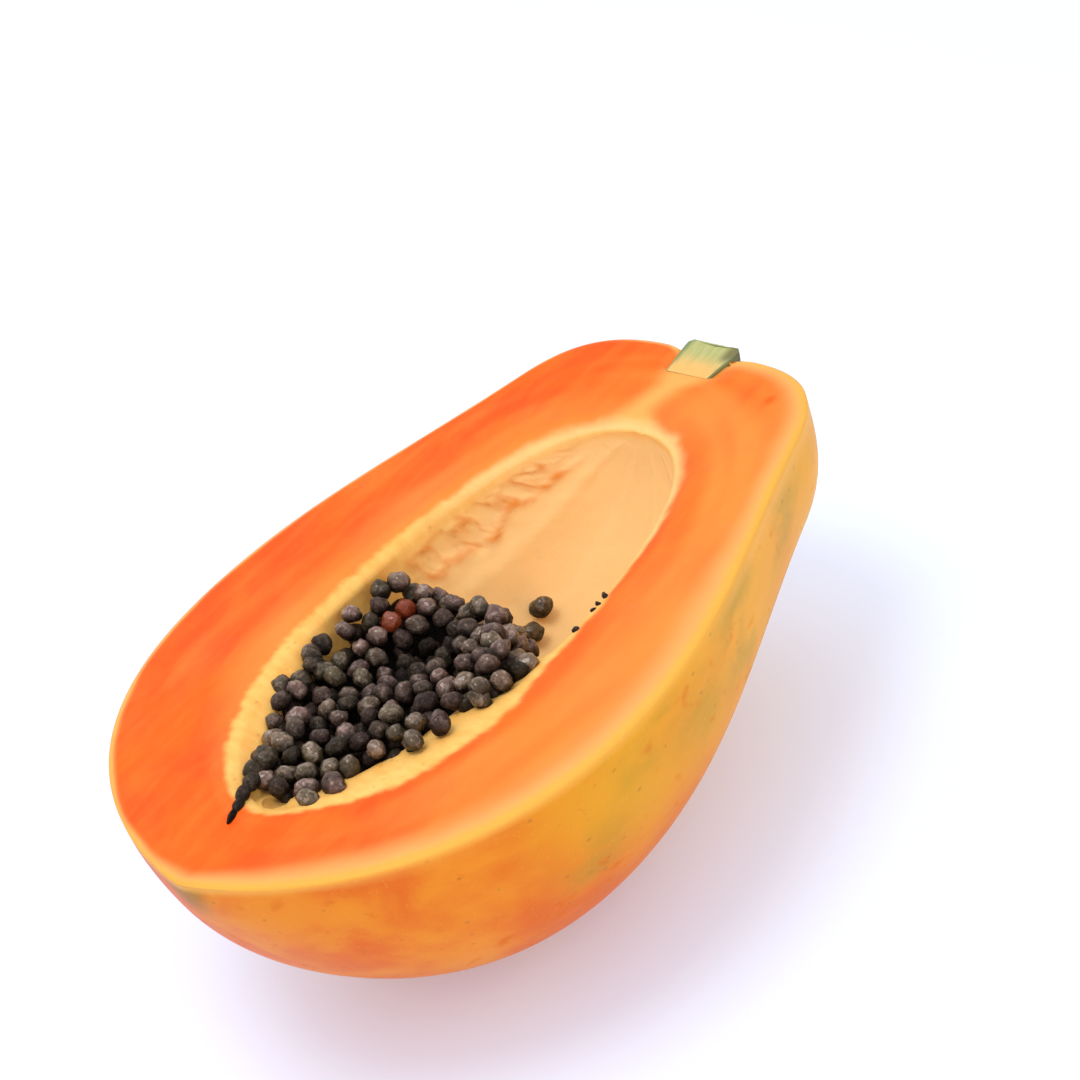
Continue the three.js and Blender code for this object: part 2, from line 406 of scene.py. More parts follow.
def fruit_outline(counts):
    tip, belly, neck = (0, 0), (BELLY_X, BELLY_RADIUS), (NECK_X, NECK_RADIUS)
    crown, dip = (LENGTH, CROWN_RADIUS), (LENGTH - CROWN_DIP, 0)
    neck_back = (NECK_X - NECK_HANDLE_BACK, NECK_RADIUS + NECK_HANDLE_BACK * NECK_SLOPE)
    neck_on = (NECK_X + NECK_HANDLE_ON, NECK_RADIUS - NECK_HANDLE_ON * NECK_SLOPE)
    to_belly = (tip, (0, TIP_BLUNTNESS), (TIP_HANDLE, BELLY_RADIUS), belly)
    to_neck = (belly, (BELLY_X + BELLY_HANDLE, BELLY_RADIUS), neck_back, neck)
    to_crown = (neck, neck_on, (LENGTH, CROWN_RADIUS + CROWN_HANDLE_OUT), crown)
    to_dip = (crown, (LENGTH, CROWN_RADIUS - CROWN_HANDLE_IN),
              (LENGTH - CROWN_DIP, DIP_HANDLE), dip)
    return chain(list(zip((to_belly, to_neck, to_crown, to_dip), counts)))


# %% [markdown]
# ## The outline of the cavity
# The seed cavity is a slimmer pear inside the first. It starts steeply at the blossom end, where
# the seeds crowd together, and closes in a round end below the stem.

# %% Outline of the cavity
CAVITY_START, CAVITY_END = 26.5, 160.5
CAVITY_BELLY_X, CAVITY_RADIUS = 80.0, 29.6
CAVITY_DEPTH_SHARE, CAVITY_LOBE = 1.24, 0.02
START_HANDLE, HANDLE_BACK, HANDLE_ON, END_HANDLE = (1, 12), 34, 38, 5


def cavity_outline(counts):
    start, belly, end = (CAVITY_START, 0), (CAVITY_BELLY_X, CAVITY_RADIUS), (CAVITY_END, 0)
    to_belly = (start, (CAVITY_START + START_HANDLE[0], START_HANDLE[1]),
                (CAVITY_BELLY_X - HANDLE_BACK, CAVITY_RADIUS), belly)
    to_end = (belly, (CAVITY_BELLY_X + HANDLE_ON, CAVITY_RADIUS),
              (CAVITY_END, CAVITY_RADIUS - END_HANDLE), end)
    return chain(list(zip((to_belly, to_end), counts)))


# %% [markdown]
# ## Lobes and bend
# A turned shape looks machined. Five soft lobes, stronger at both ends, a deeper underside and a
# slight bend to one side make it the fruit of a tree.

# %% Lobes and bend
DEPTH_SHARE, LOBES, SIDEWAYS_BEND = 1.1, 5, 1.6


def middle_line(x):
    return -SIDEWAYS_BEND * ease(x, 0, LENGTH / 2)


def fruit_lobe(x):
    share = x / LENGTH
    return 0.012 + 0.028 * share ** 3 + 0.008 * (1 - share) ** 4


# %% [markdown]
# ## Half shells
# The spin operator turns an outline by half a turn below the cut face. The skin, the cavity and
# later the stem stub are all made this way, each from its own outline, and moulded point by
# point with the lobes and the bend.

# %% Spin and mould a half shell
TINY = 1e-4


def half_shell(bm, line, steps, lobe_at, depth_share):
    """Spins the line below the cut face, moulds it and returns the new vertices."""
    old = set(bm.verts)
    verts = [bm.verts.new((p.x, p.y, 0)) for p in line]
    edges = [bm.edges.new(pair) for pair in zip(verts, verts[1:])]
    bmesh.ops.spin(bm, geom=verts + edges, axis=(1, 0, 0), cent=(0, 0, 0), dvec=(0, 0, 0),
                   angle=-math.pi, steps=steps, use_merge=False, use_duplicate=False)
    bmesh.ops.remove_doubles(bm, verts=[v for v in bm.verts if v not in old], dist=TINY)
    shell = [v for v in bm.verts if v not in old]
    for v in shell:
        x, angle = v.co.x, math.atan2(v.co.z, v.co.y)
        radius = math.hypot(v.co.y, v.co.z) * (1 + lobe_at(x) * math.cos(LOBES * angle))
        drop = radius * math.sin(angle) * depth_share if abs(v.co.z) > TINY else 0.0
        v.co = (x, radius * math.cos(angle) + middle_line(x), drop)
    return shell


# %% Shells of the skin and of the cavity
COLOUR_MAPS = ("redness", "under_skin", "rim_gold", "stem_strand", "wall_peach", "creases_and_shade",
               "lining", "deep_orange_and_shade", "greenness", "tip_green", "edge_fade")
SKIN_COUNTS, SKIN_STEPS = (96, 74, 56, 14), 72
CAVITY_COUNTS, CAVITY_STEPS = (110, 130), 104

bm = bmesh.new()
layers = {name: bm.verts.layers.float.new(name) for name in COLOUR_MAPS}
skin_verts = half_shell(bm, fruit_outline(SKIN_COUNTS), SKIN_STEPS, fruit_lobe, DEPTH_SHARE)
for v in skin_verts:
    v.co.z = max(v.co.z, TABLE_Z)
cavity_verts = half_shell(bm, cavity_outline(CAVITY_COUNTS), CAVITY_STEPS,
                          lambda x: CAVITY_LOBE, CAVITY_DEPTH_SHARE)
skin_faces = {f for v in skin_verts for f in v.link_faces}
skin_set, cavity_set = set(skin_verts), set(cavity_verts)
print("skin points", len(skin_verts), "and cavity points", len(cavity_verts))

# %% [markdown]
# ## The cut face
# The two shells leave two open rims. The face between them could be filled by a boolean cut, but
# that leaves long thin triangles. Bridging the rims and subdividing the bridge in rings gives an
# even net, which the relief and the colour maps need. With both rims in one plane the bridge can
# twist, so the cavity is lowered while it is made.

# %% Bridge the rims
CUT_RINGS, BRIDGE_DROP = 42, 5.0


def rim_of(bm, verts):
    inside = set(verts)
    return [e for e in bm.edges if e.is_boundary and all(v in inside for v in e.verts)]


def gap_finder(edges):
    """A function that gives the distance from a point of the cut face to a rim."""
    points = [a.co.lerp(b.co, k / 4) for a, b in (e.verts for e in edges) for k in range(4)]
    tree = KDTree(len(points))
    for i, point in enumerate(points):
        tree.insert((point.x, point.y, 0), i)
    tree.balance()
    return lambda co: tree.find((co.x, co.y, 0))[2]


skin_rim, cavity_rim = rim_of(bm, skin_verts), rim_of(bm, cavity_verts)
to_skin, to_cavity = gap_finder(skin_rim), gap_finder(cavity_rim)
bmesh.ops.translate(bm, vec=(0, 0, -BRIDGE_DROP), verts=cavity_verts)
bridge = bmesh.ops.bridge_loops(bm, edges=skin_rim + cavity_rim)
bmesh.ops.translate(bm, vec=(0, 0, BRIDGE_DROP), verts=cavity_verts)
bmesh.ops.subdivide_edgering(bm, edges=bridge["edges"], cuts=CUT_RINGS, interp_mode="LINEAR",
                             smooth=0.0, profile_shape="LINEAR", profile_shape_factor=0.0)
print("fruit mesh", len(bm.faces), "faces; open edges", sum(e.is_boundary for e in bm.edges))

# %% [markdown]
# ## Ribs and membranes of the cavity
# Seeds hang on fibres, and where they were pulled off the lining keeps fine uneven ribs. Deeper
# in, on the far wall, a thin membrane has torn and creased, and the wall drops a little below
# its edge. Both could be bump alone, but the ribs and creases show in the outline of the lip, so
# they move the mesh too. Each one is a mask, used for the shape and for the colour. The colour
# is a darker orange in the torn skin, at the ledge and along the ribs: partly the membrane's own
# colour, partly painted shade.


# %% Ribs of the lining
def ribs(x, y):
    """Fine uneven ribs that cross the lining, strongest on the far side of the seeds."""
    far = ease(y, 6, 22) * ease(x, 34, 44) * (1 - ease(x, 98, 108))
    ragged = 0.6 * abs(ripple(x, 0.4 * y, 0, 2.6)) + 0.6 * abs(ripple(x, 0.7 * y, 5, 1.3))
    return (0.13 - 0.13 * ease(x, 96, 112) + 0.36 * far) * ragged


# %% Torn membranes
LEDGE_ANGLE = 0.4


def membranes(x, angle):
    """Masks of the torn skin near the rim, of the ledge where it ends, and of the wall below."""
    along = ease(x, 98, 110) * (1 - ease(x, 146, 157))
    off = -angle - LEDGE_ANGLE - 0.10 * ripple(x, 1.3, 0, 11) - 0.05 * ripple(x, 4.1, 0, 3.5)
    across, along_tear = 0.7 * x + 20 * angle, 0.7 * x - 20 * angle
    rough_skin = max(0.0, 1 - 4.5 * abs(ripple(across, 0.35 * along_tear, 2.0, 3.6)))
    fine_skin = max(0.0, 1 - 4.0 * abs(ripple(across, 0.5 * along_tear, 7.0, 2.0)))
    patch = ease(-angle, 0.06, 0.16) * (1 - ease(off, -0.03, 0.03))
    torn = patch * (0.6 * rough_skin + 0.35 * fine_skin)
    edge = math.exp(-((off / 0.03) ** 2)) * ease(ripple(x, 9.0, 0, 5), -0.35, 0.15)
    below = ease(off, -0.02, 0.05) * (1 - ease(off, 0.25, 0.6))
    return along * torn, along * edge, along * below


# %% [markdown]
# ## The slope of fibre beside the heap
# On both sides of the seeds the wall isn't bare: soft pale fibre slopes in from the rim, wider
# on the near side. It is part of the flesh, so it is pushed out of the cavity's own wall. A
# point near the rim slides inwards with its depth, and points further down lead back to the wall.

# %% Fibre slope
SHELF_REACH_FAR, SHELF_REACH_NEAR, SHELF_DEPTH = 4.5, 9.0, 5.0
SHELF_LIFT = 0.5 * SHELF_DEPTH - 0.4


def shelf(x, near_side):
    """How much soft fibre slopes in from the rim beside the heap, from 0 to 1."""
    if near_side:
        return ease(x, 25, 33) * (1 - 0.5 * ease(x, 68, 80)) * (1 - ease(x, 86, 100))
    return ease(x, 25, 34) * (1 - ease(x, 62, 86))


def shelf_shape(depth):
    """The slope of fibre as (share of its reach, lift in millimetres) at a depth on the wall."""
    if depth < SHELF_DEPTH:
        return depth / SHELF_DEPTH, 0.5 * depth - 0.4
    back_to_wall = 1 - ease(depth, SHELF_DEPTH + 1, 20)
    return back_to_wall, SHELF_LIFT * (1 - ease(depth, SHELF_DEPTH, 14))


# %% [markdown]
# ## Shaping the cavity wall
# The wall keeps five faint folds from the rows of seeds, and a soft waviness. The lip curls
# down, and the tip of the cavity is filled with flesh, where the string of seeds lies. A sculpted
# wall would be a mesh that nobody can change by a number, so each vertex is moved by these few
# named effects, and the same numbers are stored for the material.

# %% Shape and colour of the cavity wall
LIP_DROP, TIP_FILL, BELOW_RIM = 1.9, 2.6, 1e-3


def shape_wall_point(v):
    x, y, z = v.co
    depth, angle = -z, math.atan2(z / CAVITY_DEPTH_SHARE, y - middle_line(x))
    torn, ledge, below = membranes(x, angle)
    fold = 0.35 * max(0.0, math.cos(10 * angle + 0.6 * ripple(x, angle, 0, 40))) ** 3
    rim_ribs = 0.9 * ribs(x, y) * (1 - ease(depth, 2, 9))
    wobble = (0.3 * ripple(x, y, z, 7) + 0.12 * ripple(x, y, z, 2.5)) * ease(depth, 0, 3)
    push = fold * ease(depth, 2, 8) + rim_ribs + wobble
    push += 0.7 * torn + 0.9 * ledge + 0.8 * below
    v.co += Vector((0, -math.cos(angle), -math.sin(angle))) * push
    near_side = angle < -math.pi / 2
    amount, (inwards, lift) = shelf(x, near_side), shelf_shape(depth)
    v.co.y += amount * inwards * (SHELF_REACH_NEAR if near_side else -SHELF_REACH_FAR)
    v.co.z += between(-LIP_DROP * (1 - ease(depth, 0, 7)), lift, amount)
    fill_level = -TIP_FILL - 0.3 * (x - CAVITY_START)
    v.co.z = between(v.co.z, max(v.co.z, fill_level), 1 - ease(x, 31, 42))
    peach_depth = between(14, 5, ease(x, 120, 145))
    rib_shade = 0.8 * (1 - ease(depth, 1, 8)) * ribs(x, y)
    v[layers["lining"]] = 1.0
    v[layers["wall_peach"]] = ease(depth, -2, peach_depth) * ease(x, 96, 116)
    # The crease map: torn skin, ledge and ribs, partly the membrane's own colour, partly painted
    # shade.
    v[layers["creases_and_shade"]] = min(1.0, 0.95 * torn + 0.6 * ledge + rib_shade)


wall_verts = [v for v in cavity_verts if v.co.z < -BELOW_RIM]
for v in wall_verts:
    shape_wall_point(v)
print("wall shaped at", len(wall_verts), "points")

# %% [markdown]
# ## Relief of the cut face
# A knife leaves a nearly flat face, but juice and soft flesh don't keep it so. It sinks round
# the cavity, rounds off at the skin, drops where the stub lies in it, and waves a little.

# %% Relief of the cut face
LIP_WIDTH, LIP_WIDTH_STEM = 4.2, 6.5
STEM_START, STEM_RADIUS, STEM_Y = 180.5, 7.4, -1.2


def cut_face_height(x, y, skin_gap, hole_gap):
    lip_width = between(LIP_WIDTH, LIP_WIDTH_STEM, ease(x, 105, 150))
    lip = max(0.0, 1 - hole_gap / lip_width) ** 2 * (1 - 0.8 * shelf(x, y < middle_line(x)))
    beside_stub = ease(abs(y - STEM_Y), STEM_RADIUS, STEM_RADIUS + 1.2)
    stub = ease(x, STEM_START, STEM_START + 2) * (1 - beside_stub)
    rounding = 1 - ease(skin_gap, 0, 1.3)
    waves = 0.1 * ripple(x, y, 0, 8) * ease(skin_gap, 0, 2) - 0.08
    return -LIP_DROP * lip - 0.9 * stub - 0.45 * rounding + waves


# %% [markdown]
# ## Colour maps of the cut face
# Four things colour the cut: the lining round the cavity, the pale bands below the skin, the
# strand that fed the seeds from the stem, and how red the flesh is. Each map is worked out from
# the distances to the skin and to the cavity, with noise so that no edge is a clean line. A
# map painted by hand would have to be painted again after each change of shape.

# %% Lining, rim and strand
LINING_WIDTH, NEAR_WIDE = 2.5, 2.2


def lining_at(x, y, hole_gap, near):
    width = LINING_WIDTH * (1 - 0.25 * ease(x, 98, 116))
    width += NEAR_WIDE * near * ease(x, 28, 40) * (1 - ease(x, 66, 84))
    ragged = 0.8 * ripple(x, y, 0, 5) + 0.4 * ripple(x, y, 4, 1.6) + 3.4 * (ribs(x, y) - 0.15)
    soft = between(0.9, 1.9, ease(x, 120, 158))
    return 1 - ease(hole_gap + ragged, width - soft, width + soft)


def rim_bands(x, y, skin_gap, near):
    """The pale band below the skin, and the golden line along its edge."""
    band = (skin_gap + 0.6 * ripple(x, y, 5, 9)) / between(1.0, 0.65, ease(x, 105, 150))
    pale = 1 - ease(band, 0.4 + 1.6 * near, 1.8 + 8.7 * near)
    golden = 1 - ease(band, 0.2 + 0.4 * near, 1.0 + 3.0 * near)
    return pale, golden


def strand_at(x, y):
    strand_y = between(1.4, STEM_Y, ease(x, 170, 182)) - 1.2 * ripple(x, 0, 0, 9)
    wide = between(between(6.0, 2.6, ease(x, 160, 168)), 6.4, ease(x, 174, 183))
    return ease(x, 157, 163) * (1 - ease(abs(y - strand_y), wide - 3, wide + 4))


# %% Redness of the flesh
FLECKS = ((178.3, -26.7, 1.4, 0.8), (182.0, -22.0, 9.0, 0.4), (168.0, -13.0, 9.0, -0.3))


def redness_at(x, y, hole_gap, near):
    """Redder on the far side, at the blossom end, beside the cavity and in a few flecks."""
    blossom = 1 - ease(x, 22, 60)
    beside_hole = (1 - ease(hole_gap, 4.5, 13)) * near
    far_side = (1 - near) * ease(hole_gap, 3, 16)
    flecks = sum(share * mound(x, y, at_x, at_y, size, size) for at_x, at_y, size, share in FLECKS)
    grown_rings = 0.28 * ripple(hole_gap * 2.2, 0.3 * x, 0.3 * y, 9) + 0.2 * ripple(x, y, 3, 22)
    red = 0.15 + 0.8 * far_side + 0.6 * blossom + 0.65 * beside_hole + grown_rings + flecks
    return min(1.0, max(0.0, red))


# %% Shape and colour the cut face
cut_verts = [v for v in bm.verts
             if v not in skin_set and v not in cavity_set or v.co.z > -BELOW_RIM]
for v in cut_verts:
    x, y, _ = v.co
    skin_gap, hole_gap = to_skin(v.co), to_cavity(v.co)
    near = ease(-y, -25, 35)
    v.co.z = cut_face_height(x, y, skin_gap, hole_gap)
    v[layers["lining"]] = lining_at(x, y, hole_gap, near)
    v[layers["wall_peach"]] = 0.7 * ease(x, 104, 140)
    v[layers["under_skin"]], v[layers["rim_gold"]] = rim_bands(x, y, skin_gap, near)
    v[layers["stem_strand"]] = strand_at(x, y)
    v[layers["redness"]] = redness_at(x, y, hole_gap, near)
print("cut face shaped at", len(cut_verts), "points")

# %% [markdown]
# ## A soft lip
# Where the cut face turns down into the cavity, the knife's edge has slumped. A bevel would give
# one even radius, so the vertices near the rim are smoothed instead: many rounds by the stem,
# where the lip is round, and a single one beside the seeds, where it stays crisp.

# %% Soften the lip of the cavity
LIP_ROUNDS, SOFT_FROM_X, LIP_REACH, LIP_DEPTH = 12, 104, 3.5, 5.5


def soften(verts):
    bmesh.ops.smooth_vert(bm, verts=verts, factor=0.5, use_axis_x=True, use_axis_y=True,
                          use_axis_z=True)


lip_verts = [v for v in bm.verts
             if v not in skin_set and v.co.z > -LIP_DEPTH and to_cavity(v.co) < LIP_REACH]
for _ in range(LIP_ROUNDS):
    soften([v for v in lip_verts if v.co.x > SOFT_FROM_X])
soften(lip_verts)
print("lip softened at", len(lip_verts), "points")

# %% [markdown]
# ## Colour maps of the skin
# The belly is painted darker and deeper orange underneath, as painted shade with a painted orange
# reflection, and the blossom end is deep orange too. Green lingers high on the side and round the
# blossom tip. Just below the cut the skin looks paler, because light comes through it from the
# flesh.

# %% Skin colours
GREEN_SPOTS = ((60, -25, 10, 0.7), (73, -5, 8, 1.2), (84, -4, 6, 0.9), (98, -14, 10, 0.8),
               (122, -12, 14, 1.0), (150, -10, 12, 0.9))
for v in skin_verts:
    x, y, z = v.co
    # Painted shade and orange reflection: darker, deeper orange lower on the belly.
    low = ease(-z, 14, 44) * (1 - 0.6 * ease(x, 110, 150))
    blossom = 1 - ease(x, 25, 75)
    spots = max(share * mound(x, z, at, height, size, size)
                for at, height, size, share in GREEN_SPOTS)
    all_over = (0.35 if y > 0 else 0.1) * ease(x, 30, 80)
    faded_height = between(3.0, 6.5, ease(x, 90, 150))
    v[layers["deep_orange_and_shade"]] = min(1.0, 0.85 * low + 0.95 * blossom + 0.25 * ripple(x, y, z, 20))
    v[layers["greenness"]] = min(1.0, 1.2 * spots + all_over)
    v[layers["edge_fade"]] = 0.85 * (1 - ease(-z, 0.2, faded_height))
    v[layers["tip_green"]] = 0.6 * (1 - ease(Vector((x, y, 0.5 * z)).length, 2, 8))

# %% Hand over the fruit
smooth_all(bm)
for face in bm.faces:
    face.material_index = 0 if face in skin_faces else 1
bmesh.ops.recalc_face_normals(bm, faces=bm.faces)
finish_piece(bm, "papaya_body", ["fruit_half"], [SKIN, FLESH])

# %% [markdown]
# ## The finish of the seeds
# A papaya seed sits in a thin clear skin over a dark, wrinkled coat. It is nearly black. The
# grey-mauve shine where the wet skin would catch the light is painted, as pale patches on the lit
# parts. One flat black would make the heap a hole, so every seed carries its own darkness, random
# and with painted shade in it, and its dark foot is also the least glossy part.


# %% Seed material
def make_seed_finish():
    material, wires, shader = new_material(
        "papaya_seed", Coat_Roughness=0.1, Specular_IOR_Level=0.12)
    place = wires.place()
    tone_and_shade = wires.own("tone_and_shade")
    bright = wires.mix(paint(128, 94, 82), paint(108, 90, 58), wires.own("olive"))
    # From near black to lit brown by a map of random darkness and painted shade.
    coat = wires.mix(paint(12, 5, 2), bright, tone_and_shade)
    # Painted highlight: pale grey-mauve patches on the lit parts, which are also rougher.
    painted_sheen = wires.group(MOTTLE, Place=place, Scale=680.0, Low=0.46, High=0.7)
    coat = wires.glaze(coat, paint(216, 188, 172), wires.times(painted_sheen, tone_and_shade), 0.6)
    colour = wires.mix(coat, paint(146, 58, 24), wires.own("russet"))
    wires.put(shader.inputs["Base Color"], colour)
    wires.put(shader.inputs["Coat Weight"], tone_and_shade)
    wires.roughness(shader, painted_sheen, least=0.34, extra=0.2)
    height = wires.group(RELIEF, Place=place, Scale=900.0, Grain=0.3)
    wires.bumps(shader, height, strength=1.0, distance=0.001)
    return material


SEED_COAT = make_seed_finish()
print(SEED_COAT.name, "has", len(SEED_COAT.node_tree.nodes), "nodes")

# %% [markdown]
# ## The rule of the heap
# The heap follows one height rule, with a hollow in its middle, a raised near side and a steep
# front. Seeds could be dropped in a simulation, but that lands differently from run to run. Here
# they are thrown at the rule in a fixed order of draws, and each one stays only where it has
# room. It is the rule of the CAD heap, so nearly every seed lies in the place of a plain one.

# %% Fixed draws
MASK, DRAW_STEP, DRAW_RANGE = 0xFFFFFFFF, 0x6D2B79F5, 4294967296


def seeded_draws(state):
    """The same small generator as the CAD heap uses: numbers from 0 to 1 in a fixed order."""
    while True:
        state = (state + DRAW_STEP) & MASK
        mixed = ((state ^ (state >> 15)) * (state | 1)) & MASK
        mixed ^= (mixed + ((mixed ^ (mixed >> 7)) * (mixed | 61) & MASK)) & MASK
        yield (mixed ^ (mixed >> 14)) / DRAW_RANGE


# %% Height of the heap
HEAP_START, HEAP_FRONT, HEAP_FOOT, HEAP_NEAR_CUT_BACK = 29.0, 98.0, 110.0, 15.0
HOLLOW_AT, HOLLOW_SIZE, HOLLOW_DEPTH = (82, 6), (17, 12), 8


def heap_top(x, y):
    """Height of the seeds' middles in the top layer."""
    hollow = HOLLOW_DEPTH * mound(x, y, *HOLLOW_AT, *HOLLOW_SIZE)
    near_side = 3.2 * ease(-y, 14, 26)
    far_side = 0.5 * ease(y, 14, 24)
    front_x = HEAP_FRONT - HEAP_NEAR_CUT_BACK * ease(-y, 6, 24)
    return -1.6 - hollow + near_side - far_side - 3.2 * max(0.0, x - front_x)


# %% Room in the cavity
SEED_LONG, SEED_WIDE, GAP = 6.1, 5.0, 0.35
CAVITY_LINE = cavity_outline((40, 40))


def cavity_half_width(x):
    for a, b in zip(CAVITY_LINE, CAVITY_LINE[1:]):
        if b.x > x >= a.x:
            return between(a.y, b.y, (x - a.x) / (b.x - a.x))
    return 0.0


def seed_fits(x, y, z):
    """Inside the cavity with room for a seed, and not in the bare far corner by the blossom."""
    nearest = min(cavity_half_width(x - 3), cavity_half_width(x + 3))
    across = math.hypot(y - middle_line(x), min(z, 0) / CAVITY_DEPTH_SHARE)
    bare_corner = x < 66 and y > 9 + (x - 34) * 0.55
    return across < nearest - SEED_WIDE / 2 - GAP and not bare_corner


# %% Throw the seeds
SEED_SPACING, SEED_TRIES, SEED_DRAW = 4.45, 9000, 20240


def seed_spots(draws, lower_by=0.0, spacing=SEED_SPACING):
    """Places (spot, turn, size) of the seeds that found room."""
    spots = []
    for _ in range(SEED_TRIES):
        x = between(HEAP_START, HEAP_FOOT, next(draws))
        y = between(-CAVITY_RADIUS, CAVITY_RADIUS, next(draws))
        z = heap_top(x, y) + between(-0.9, 1.1, next(draws)) - lower_by
        spot, turn = Vector((x, y, z)), [next(draws) * math.pi for _ in range(3)]
        if all((other - spot).length > spacing for other, _, _ in spots) and seed_fits(*spot):
            spots.append((spot, turn, between(0.9, 1.08, next(draws))))
    return spots


# %% [markdown]
# ## A wrinkled seed
# An icosphere, pulled long and pushed in and out by noise, makes a seed with the ridges of its
# dry coat. One seed could be copied everywhere, but a heap of twins shows at once, so each is
# made anew from noise at its own spot. Shade is painted into its colour map: its foot, the sides
# that its neighbours touch and the valleys of its wrinkles are painted darker, its top lighter.
# That is what sets one seed off from the next.

# %% A wrinkled seed
SEED_MAPS = ("tone_and_shade", "olive", "russet")


def seed_mesh():
    """A new mesh with the colour maps that every seed carries."""
    made = bmesh.new()
    for name in SEED_MAPS:
        made.verts.layers.float.new(name)
    return made


def no_crowd(point, owner):
    return 0.0


def seed_pose(spot, turn, long, wide):
    spin = (Matrix.Rotation(turn[0], 4, "X") @ Matrix.Rotation(turn[1], 4, "Y")
            @ Matrix.Rotation(turn[2], 4, "Z"))
    return Matrix.Translation(spot) @ spin @ Matrix.Diagonal((wide, long, wide, 1))


def add_seed(bm, spot, turn, long, wide, tone_and_shade, russet=0.0, fineness=3, crowd=no_crowd):
    """Adds one seed, with painted shade: its foot, its wrinkles and the sides its neighbours touch
    are darker, its top lighter.
    """
    tone_and_shade_map, olive_map, russet_map = (bm.verts.layers.float[name] for name in SEED_MAPS)
    olive = ease(noise.noise(spot * 0.37), -0.25, 0.25)
    pose = seed_pose(spot, turn, long, wide)
    made = bmesh.ops.create_icosphere(bm, subdivisions=fineness, radius=0.5)
    for v in made["verts"]:
        at = v.co * 2
        ridge = 0.5 - abs(noise.noise(at * 2.6 + spot * 3))
        dent = 0.2 * noise.noise(at * 1.3 + spot) + 0.2 * ridge
        v.co = pose @ (v.co * (0.88 + dent))
        height = (v.co.z - spot.z) / wide
        # Painted shade: the top lighter; the foot, the sides that neighbours touch and the
        # wrinkles' valleys darker.
        shade = (0.1 + 1.1 * ease(height, -0.3, 0.5)) / (1 + 2.5 * crowd(v.co, spot))
        v[tone_and_shade_map] = min(1.0, tone_and_shade * shade * (0.75 + 0.7 * ridge))
        v[olive_map] = olive
        v[russet_map] = russet


# %% [markdown]
# ## Which seeds show, and how dark they are
# On the near side the heap ends early and the pale fibre slope shows, with a notch in its edge.
# Most seeds come from the rule, and a few single ones at the rim are listed one by one. The
# hollow in the middle lies in shade, and a small group of seeds is reddish brown.

# %% Edge and shade of the heap
NOTCH_X, NOTCH_WIDE, NOTCH_DEEP = 64.0, 3.8, 9.5
SHADE_AT, SHADE_SHARE = (80, 2), 0.9


def near_edge(x):
    """Where the visible seeds stop on the near side; beyond it the pale fibre slope shows."""
    notch = NOTCH_DEEP * math.exp(-(((x - NOTCH_X) / NOTCH_WIDE) ** 2))
    return notch - between(11 + 0.3 * (x - 30), 27.5, ease(x, 48, 58))


def light_at(spot):
    """How much light a seed gets: little in the hollow, 1 away from it."""
    return 1 - SHADE_SHARE * mound(spot.x, spot.y, *SHADE_AT, *HOLLOW_SIZE)


# %% How closely the seeds press
TOUCH_NEAR, TOUCH_FAR, SAME_SEED = 2.0, 4.2, 0.1


def crowd_of(spots):
    """A function that tells how closely other seeds press on a point of a seed."""
    tree = KDTree(len(spots))
    for i, spot in enumerate(spots):
        tree.insert(spot, i)
    tree.balance()

    def crowd(point, owner):
        near = tree.find_range(point, TOUCH_FAR)
        return sum(1 - ease(gap, TOUCH_NEAR, TOUCH_FAR) for at, _, gap in near
                   if (at - owner).length > SAME_SEED)
    return crowd


# %% [markdown]
# ## The heap
# Only the seeds that show get a few hundred faces. Fewer and plainer ones fill the gaps between
# them, so that the heap looks deep without a heavy mesh. These deep seeds are painted dark, as
# painted shade under the top layer.

# %% Places of the seeds
RIM_SEEDS = ((59.0, 23.4, -2.2), (70.5, 24.6, -2.4), (67.0, 20.6, -1.8), (101.0, 14.0, -8.0),
             (31.6, -9.0, -0.9), (36.9, -12.0, -0.6), (69.5, -26.6, 0.6), (76.0, -27.4, 0.4))
RIM_TILT = (0.4, 0.7)
DEEP_BY, DEEP_SPACING, DEEP_STOPS = 3.8, 5.6, HEAP_FRONT - 6

top_layer = [seed for seed in seed_spots(seeded_draws(SEED_DRAW))
             if seed[0].y > near_edge(seed[0].x)]
top_layer += [(Vector(spot), (*RIM_TILT, spot[0]), 1.0) for spot in RIM_SEEDS]
deep_layer = [seed for seed in seed_spots(seeded_draws(SEED_DRAW + 1), DEEP_BY, DEEP_SPACING)
              if near_edge(seed[0].x) < seed[0].y and seed[0].x < DEEP_STOPS]
print(len(top_layer), "seeds on top,", len(deep_layer), "below")

# %% Make the seeds
RUSSET_SPOT, RUSSET_REACH, RUSSET_SHARE = Vector((89.5, 16.5)), 3.8, 0.85
# Seeds of the deep layer are painted dark: painted shade below the top layer.
DEEP_SHADE_TONE = 0.12

luck = random.Random(5)
bm = seed_mesh()
crowd = crowd_of([spot for spot, _, _ in top_layer])
for spot, turn, size in top_layer:
    russet = RUSSET_SHARE if (spot.xy - RUSSET_SPOT).length < RUSSET_REACH else 0.0
    tone_and_shade = light_at(spot) * (0.15 + 1.05 * luck.random())
    wide = SEED_WIDE * size * between(0.84, 1.0, luck.random())
    add_seed(bm, spot, turn, 0.96 * SEED_LONG * size, wide, tone_and_shade, russet, crowd=crowd)
for spot, turn, size in deep_layer:
    add_seed(bm, spot, turn, SEED_LONG * size, SEED_WIDE * size, DEEP_SHADE_TONE, fineness=2)
print("seeds so far have", len(bm.faces), "faces")

# %% [markdown]
# ## The dried string at the blossom end
# Beyond the heap a string of seeds runs into the flesh, each smaller and drier than the last.
# It belongs to the same CAD solid, so its beads join the same mesh. They sit a little left and
# right of a straight line, ever closer to it, as on a twisted thread.

